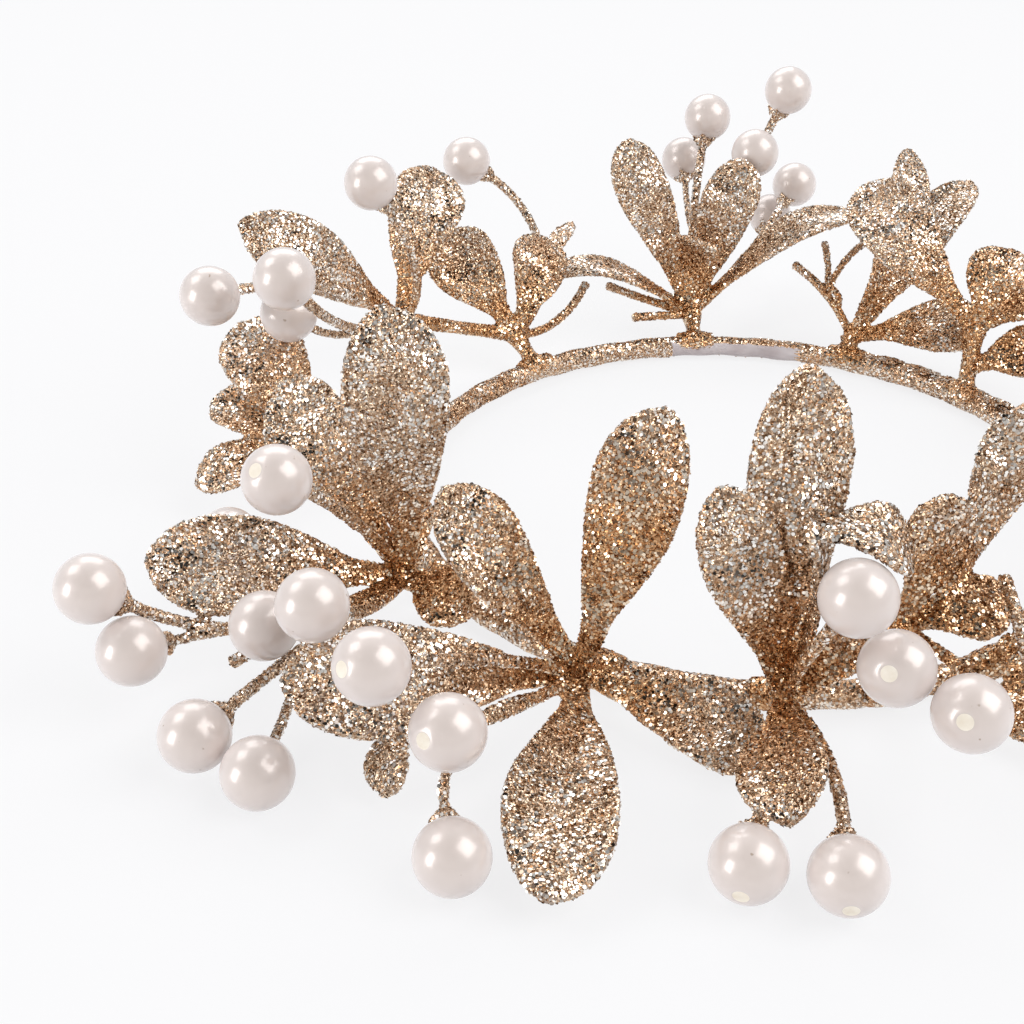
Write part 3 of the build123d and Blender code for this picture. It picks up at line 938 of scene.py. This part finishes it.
def leaf(angle, root, values, seed):
    """One spoon-shaped leaf: a grid drawn to its outline, arched, hollowed, rippled and thickened."""
    heading, rise, length, width, roll, arch = values
    length, width, arch = length * MM, width * MM, arch * MM
    outward, along = hoop_axes(angle)[:2]
    forward = direction(angle, heading, rise)
    level_side = along * cos(radians(heading)) - outward * sin(radians(heading))
    level_normal = forward.cross(level_side)
    side = level_side * cos(radians(roll)) + level_normal * sin(radians(roll))
    normal = forward.cross(side)
    bpy.ops.object.select_all(action="DESELECT")
    bpy.ops.mesh.primitive_grid_add(x_subdivisions=48, y_subdivisions=12, size=2.0)
    blade = bpy.context.object
    flat = corners(blade)
    draw = np.random.default_rng(seed)
    phase = draw.random(4) * 2 * pi
    share = np.sin((flat[:, 0] + 1) * pi / 4)
    grown = np.clip((share - LEAF_NECK) / (1 - LEAF_NECK), 0.0, 1.0)
    outline = grown**BLADE_SWELL * np.sqrt(np.clip(1 - grown**BLADE_CLOSE, 0.0, 1.0)) / BLADE_WIDEST
    half = outline * width / 2 * (1 + EDGE_WAVE * np.sin(9 * share + phase[0]) * np.sign(flat[:, 1]))
    petiole = PETIOLE_HALF_WIDTH + PETIOLE_SPREAD * width * share
    half = np.maximum(half, np.where(share < PETIOLE_TO, petiole, TIP_HALF_WIDTH))
    across = flat[:, 1] * half
    ripple = LONG_RIPPLE * width * grown * np.sin(7 * share + 2.0 * flat[:, 1] + phase[1])
    ripple = ripple + CROSS_RIPPLE * width * grown * np.sin(4 * share - 3.0 * flat[:, 1] + phase[2])
    spoon = LEAF_SPOON * across**2 / (width / 2) * grown
    curl = TIP_CURL * length * np.clip((share - CURL_FROM) / (1 - CURL_FROM), 0.0, 1.0) ** 2
    bow = arch * 4 * share * (1 - share)
    upsweep = CURL_LIFT * TIP_CURL * length * share
    lift = bow + spoon - curl + upsweep + ripple
    spread = np.outer(share * length, forward) + np.outer(across, side) + np.outer(lift, normal)
    places = np.array(root) + spread
    places[:, 2] = np.maximum(places[:, 2], LEAF_LOWEST)
    set_corners(blade, places)
    finish_with(blade, "SOLIDIFY", thickness=LEAF_THICKNESS, offset=0.0)
    return blade


def stalk_arc(angle, point, seat, start, reach):
    """Points of the circular arc from a cup root back to the stalk's start."""
    toward = direction(angle, *seat)
    root = place(angle, point) - toward * reach
    way = start - root
    back = -toward
    bend = way - back * way.dot(back)
    if bend.length < STRAIGHT_WITHIN:
        return [root.lerp(start, k / ARC_STEPS) for k in range(ARC_STEPS + 1)]
    bend.normalize()
    radius = way.length_squared / (2 * way.dot(bend))
    turn = 2 * atan2(way.dot(bend), way.dot(back))
    steps = [turn * k / ARC_STEPS for k in range(ARC_STEPS + 1)]
    return [root + back * (radius * sin(step)) + bend * (radius * (1 - cos(step))) for step in steps]


def cup(root, toward, radius):
    """Flared calyx with four sepals round the foot of a bead."""
    rim = root + toward * CUP_REACH * CUP_HEIGHT
    waist = root.lerp(rim, CUP_WAIST_AT)
    pieces = [tube([root, waist, rim], [radius, CUP_WAIST * CUP_MOUTH, CUP_MOUTH])]
    across = toward.orthogonal().normalized()
    over = toward.cross(across)
    for quarter in range(4):
        turn = pi / 2 * quarter + SEPAL_TURN
        out = across * cos(turn) + over * sin(turn)
        ends = [root + toward * high * MM + out * wide * MM for high, wide in SEPAL_ENDS]
        pieces.append(tube(ends, SEPAL_RADII))
    return pieces


def stem(start, end, radii):
    """A stem between two points that swells toward its ends."""
    steps = len(radii) - 1
    path = [start.lerp(end, k / steps) for k in range(steps + 1)]
    return tube(path, [radius * MM for radius in radii])


def saddle(angle):
    """The foot that sits over the hoop."""
    steps = range(-3, 4)
    path = [place(angle + SADDLE_STEP * k, SADDLE_SPOT) for k in steps]
    return tube(path, [(SADDLE_RADIUS - SADDLE_TAPER * abs(k)) * MM for k in steps])


def spray(sprig, seed):
    """One moulding: foot, stem, leaves and stalks grown together, then rolled in glitter."""
    angle = sprig["angle"]
    whorls = {"hub": place(angle, sprig["hub"])}
    pieces = [saddle(angle), stem(place(angle, STEM_FOOT), whorls["hub"], STEM_RADII)]
    growing = [(whorls["hub"], values) for values in sprig["leaves"]]
    growing += [(place(angle, root), values) for root, values in sprig["side_leaves"]]
    if sprig["branch"]:
        whorls["branch"] = place(angle, sprig["branch"])
        pieces.append(stem(whorls["hub"], whorls["branch"], BRANCH_RADII))
        growing += [(whorls["branch"], values) for values in sprig["branch_leaves"]]
    for number, (root, values) in enumerate(growing):
        pieces.append(leaf(angle, root, values, seed * LEAF_SEEDS_PER_SPRAY + number))
    for stalks, reach in ((sprig["pearls"], PEARL_RADIUS + CUP_HEIGHT), (sprig["bare"], CUP_HEIGHT)):
        arcs = []
        for point, seat, start in stalks:
            if start in whorls:
                spot = whorls[start]
                radius = STALK_RADIUS
            else:
                spot = arcs[start[0]][round(ARC_STEPS * (1 - start[1]))]
                radius = FORK_RADIUS
            arc = stalk_arc(angle, point, seat, spot, reach)
            arcs.append(arc)
            pieces.append(tube(arc, [radius] * len(arc)))
            if stalks is sprig["pearls"]:
                pieces.extend(cup(arc[0], direction(angle, *seat), radius))
            else:
                end = place(angle, point)
                pieces.append(tube([arc[0], end], [radius, BARE_END_FLARE * radius]))
    body = join(pieces, sprig["name"] + "_glitter_spray")
    finish_with(body, "REMESH", mode="VOXEL", voxel_size=BED_GRAIN)
    # Painted shade: darker copper glitter round the hubs and the shade spots.
    hub_shade_centres = list(whorls.values()) + [place(angle, spot) for spot in sprig["shade_spots"]]
    return cover_with_glitter(body, sprig["name"] + "_glitter_spray", seed, hubs=hub_shade_centres)


for number, sprig in enumerate(sprigs):
    body = spray(sprig, FIRST_SPRAY_SEED + number)
    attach(body, "root")
    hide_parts(sprig["name"] + "_spray")

# Pearls
# Drilled plastic beads under pearl lacquer, pushed on the spray's pegs and
# glued in the cups. On some, the far end of the drilled hole shows as a cream plug.
RING_STEP = 5.0
NO_RING = 99
LAST_PLUG_RING = 2
NO_DIVISION_BELOW = 0.001 * MM
SMOOTH_UP_TO = 35.0

# Rings of the ball round its far pole: number, radius and height in millimetres.
PLUG_RINGS = ((0, 0.0, 3.84), (1, 0.45, 3.84), (2, 0.85, 3.85), (3, 1.0, 3.87))
LACQUERED_RINGS = ((0, 0.0, 3.97),)


def pearl_material():
    """Soft pearl lacquer, paler at the rim as a painted sheen, with a few darker specks."""
    material = bpy.data.materials.new("pearl lacquer")
    material.use_nodes = True
    nodes = material.node_tree.nodes
    links = material.node_tree.links
    surface = nodes["Principled BSDF"]
    surface.inputs["Metallic"].default_value = 0.12
    surface.inputs["Roughness"].default_value = 0.27
    surface.inputs["Coat Weight"].default_value = 0.32
    surface.inputs["Coat Roughness"].default_value = 0.12
    # Painted sheen: the lacquer colour turns paler toward the rim as the surface turns away from the
    # camera.
    sheen_facing = nodes.new("ShaderNodeLayerWeight")
    sheen_facing.inputs["Blend"].default_value = 0.35
    painted_sheen_ramp = nodes.new("ShaderNodeValToRGB")
    painted_sheen_ramp.color_ramp.elements[0].color = (0.695, 0.61, 0.57, 1.0)
    painted_sheen_ramp.color_ramp.elements[1].color = (0.73, 0.678, 0.672, 1.0)
    links.new(sheen_facing.outputs["Facing"], painted_sheen_ramp.inputs["Fac"])
    specks = nodes.new("ShaderNodeTexNoise")
    specks.inputs["Scale"].default_value = 900.0
    spot = nodes.new("ShaderNodeTexCoord")
    links.new(spot.outputs["Object"], specks.inputs["Vector"])
    rare = nodes.new("ShaderNodeMapRange")
    rare.inputs["From Min"].default_value = 0.74
    rare.inputs["From Max"].default_value = 0.78
    links.new(specks.outputs["Fac"], rare.inputs["Value"])
    colour = nodes.new("ShaderNodeMix")
    colour.data_type = "RGBA"
    colour.inputs[7].default_value = (0.45, 0.36, 0.30, 1.0)
    links.new(rare.outputs["Result"], colour.inputs["Factor"])
    links.new(painted_sheen_ramp.outputs["Color"], colour.inputs[6])
    links.new(colour.outputs[2], surface.inputs["Base Color"])
    return material


PLUGGED = {
    ("sprig_07", 6),
    ("sprig_08", 0),
    ("sprig_08", 1),
    ("sprig_09", 0),
    ("sprig_09", 1),
    ("sprig_10", 0),
    ("sprig_10", 1),
}
pearl_lacquer = pearl_material()
hole_plug = mottled_material(
    "cream hole plug",
    low=(0.78, 0.70, 0.58, 1.0),
    high=(0.88, 0.82, 0.72, 1.0),
    scale=900.0,
    metallic=0.0,
    smoothest=0.5,
    roughest=0.7,
)


def bead(angle, centre, seat, plugged):
    """A ball with its far pole drawn in to the drilled hole, which is plugged or lacquered over."""
    bpy.ops.object.select_all(action="DESELECT")
    bpy.ops.mesh.primitive_uv_sphere_add(segments=48, ring_count=36, radius=PEARL_RADIUS)
    ball = bpy.context.object
    places = corners(ball)
    away = np.hypot(places[:, 0], places[:, 1])
    from_pole = np.degrees(np.arcsin(np.clip(away / PEARL_RADIUS, 0, 1)))
    ring = np.where(places[:, 2] > 0, np.round(from_pole / RING_STEP), NO_RING)
    for number, radius, height in PLUG_RINGS if plugged else LACQUERED_RINGS:
        picked = ring == number
        places[picked, :2] *= (radius * MM / np.maximum(away[picked], NO_DIVISION_BELOW))[:, None]
        places[picked, 2] = height * MM
    turn = np.array(direction(angle, *seat).to_track_quat("Z", "Y").to_matrix())
    ball.data.materials.append(pearl_lacquer)
    ball.data.materials.append(hole_plug)
    for face in ball.data.polygons:
        in_plug = plugged and all(ring[corner] <= LAST_PLUG_RING for corner in face.vertices)
        face.material_index = 1 if in_plug else 0
    set_corners(ball, places @ turn.T + np.array(place(angle, centre)))
    only(ball)
    bpy.ops.object.shade_smooth_by_angle(angle=radians(SMOOTH_UP_TO))
    return ball


for sprig in sprigs:
    if not sprig["pearls"]:
        continue
    balls = []
    for number, pearl in enumerate(sprig["pearls"]):
        centre, seat = pearl[:2]
        balls.append(bead(sprig["angle"], centre, seat, (sprig["name"], number) in PLUGGED))
    berries = join(balls, sprig["name"] + "_pearl_beads")
    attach(berries, "root")
    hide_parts(sprig["name"] + "_pearls")

# Floor, lamps and camera
# A pale studio table that is bright in the picture, small soft boxes round it
# and a dim room, seen from above the front of the ring.
FLOOR_LEVEL = -0.3 * MM
TABLE_GLOW = 0.85
ROOM_BRIGHTNESS = 0.58
OVERHEAD_BRIGHTNESS = 0.04
BACKDROP_BRIGHTNESS = 0.94
FOCAL_LENGTH_IN_PIXELS = 1450.0
PICTURE_WIDTH_IN_PIXELS = 1024.0
SENSOR_WIDTH = 36.0
CAMERA_SPOT = (-33.4 * MM, -181.6 * MM, 106.6 * MM)
CAMERA_LOOKS_DOWN = 31.06


def paper_material():
    """Pale paper, bright where the camera or a reflection sees it."""
    material = bpy.data.materials.new("pale paper")
    material.use_nodes = True
    nodes = material.node_tree.nodes
    links = material.node_tree.links
    surface = nodes["Principled BSDF"]
    surface.inputs["Base Color"].default_value = (0.85, 0.85, 0.86, 1.0)
    surface.inputs["Roughness"].default_value = 0.9
    glow = nodes.new("ShaderNodeEmission")
    glow.inputs["Color"].default_value = (0.945, 0.945, 0.955, 1.0)
    seen = nodes.new("ShaderNodeLightPath")
    either = nodes.new("ShaderNodeMath")
    either.operation = "MAXIMUM"
    links.new(seen.outputs["Is Camera Ray"], either.inputs[0])
    links.new(seen.outputs["Is Glossy Ray"], either.inputs[1])
    share = nodes.new("ShaderNodeMath")
    share.operation = "MULTIPLY"
    share.inputs[1].default_value = TABLE_GLOW
    links.new(either.outputs[0], share.inputs[0])
    blend = nodes.new("ShaderNodeMixShader")
    links.new(share.outputs[0], blend.inputs[0])
    links.new(surface.outputs["BSDF"], blend.inputs[1])
    links.new(glow.outputs["Emission"], blend.inputs[2])
    links.new(blend.outputs["Shader"], nodes["Material Output"].inputs["Surface"])
    return material


bpy.ops.object.select_all(action="DESELECT")
bpy.ops.mesh.primitive_plane_add(size=6.0, location=(0.0, 0.0, FLOOR_LEVEL))
floor = join([bpy.context.object], "studio_floor")
floor.data.materials.append(paper_material())

scene = bpy.context.scene
scene.view_settings.view_transform = "Standard"
world = bpy.data.worlds.new("studio")
scene.world = world
world.use_nodes = True
sky = world.node_tree.nodes["Background"]
sky.inputs["Color"].default_value = (1.0, 1.0, 1.0, 1.0)
heading = world.node_tree.nodes.new("ShaderNodeTexCoord")
overhead = world.node_tree.nodes.new("ShaderNodeVectorMath")
overhead.operation = "DOT_PRODUCT"
overhead.inputs[1].default_value = (0.0, -0.35, 0.94)
dimming = world.node_tree.nodes.new("ShaderNodeMapRange")
dimming.inputs["From Min"].default_value = 0.72
dimming.inputs["From Max"].default_value = 0.95
dimming.inputs["To Min"].default_value = ROOM_BRIGHTNESS
dimming.inputs["To Max"].default_value = OVERHEAD_BRIGHTNESS
world.node_tree.links.new(heading.outputs["Generated"], overhead.inputs[0])
world.node_tree.links.new(overhead.outputs["Value"], dimming.inputs["Value"])
straight = world.node_tree.nodes.new("ShaderNodeLightPath")
brightness = world.node_tree.nodes.new("ShaderNodeMix")
brightness.inputs[3].default_value = BACKDROP_BRIGHTNESS
world.node_tree.links.new(straight.outputs["Is Camera Ray"], brightness.inputs[0])
world.node_tree.links.new(dimming.outputs["Result"], brightness.inputs[2])
world.node_tree.links.new(brightness.outputs[0], sky.inputs["Strength"])


def soft_box(name, spot, size, power):
    """A rectangular lamp that faces the middle of the ring."""
    lamp = bpy.data.lights.new(name, "AREA")
    lamp.shape = "RECTANGLE"
    lamp.size, lamp.size_y = size
    lamp.energy = power
    holder = bpy.data.objects.new(name, lamp)
    scene.collection.objects.link(holder)
    holder.location = spot
    holder.rotation_euler = (-Vector(spot)).to_track_quat("-Z", "Y").to_euler()


soft_box("right box", spot=(0.43, -0.16, 0.52), size=(0.56, 0.56), power=3.7)
soft_box("left box", spot=(-0.6, -0.32, 0.15), size=(0.22, 0.34), power=1.8)
soft_box("back box", spot=(-0.1, 0.55, 0.5), size=(0.6, 0.4), power=1.9)
soft_box("upper left box", spot=(-0.45, 0.1, 0.5), size=(0.3, 0.3), power=0.9)

camera = bpy.data.cameras.new("photo camera")
camera.lens = FOCAL_LENGTH_IN_PIXELS / PICTURE_WIDTH_IN_PIXELS * SENSOR_WIDTH
camera.sensor_width = SENSOR_WIDTH
camera.clip_start = 0.01
camera_holder = bpy.data.objects.new("photo camera", camera)
scene.collection.objects.link(camera_holder)
camera_holder.location = CAMERA_SPOT
camera_holder.rotation_euler = (radians(90.0 - CAMERA_LOOKS_DOWN), 0.0, 0.0)
scene.camera = camera_holder
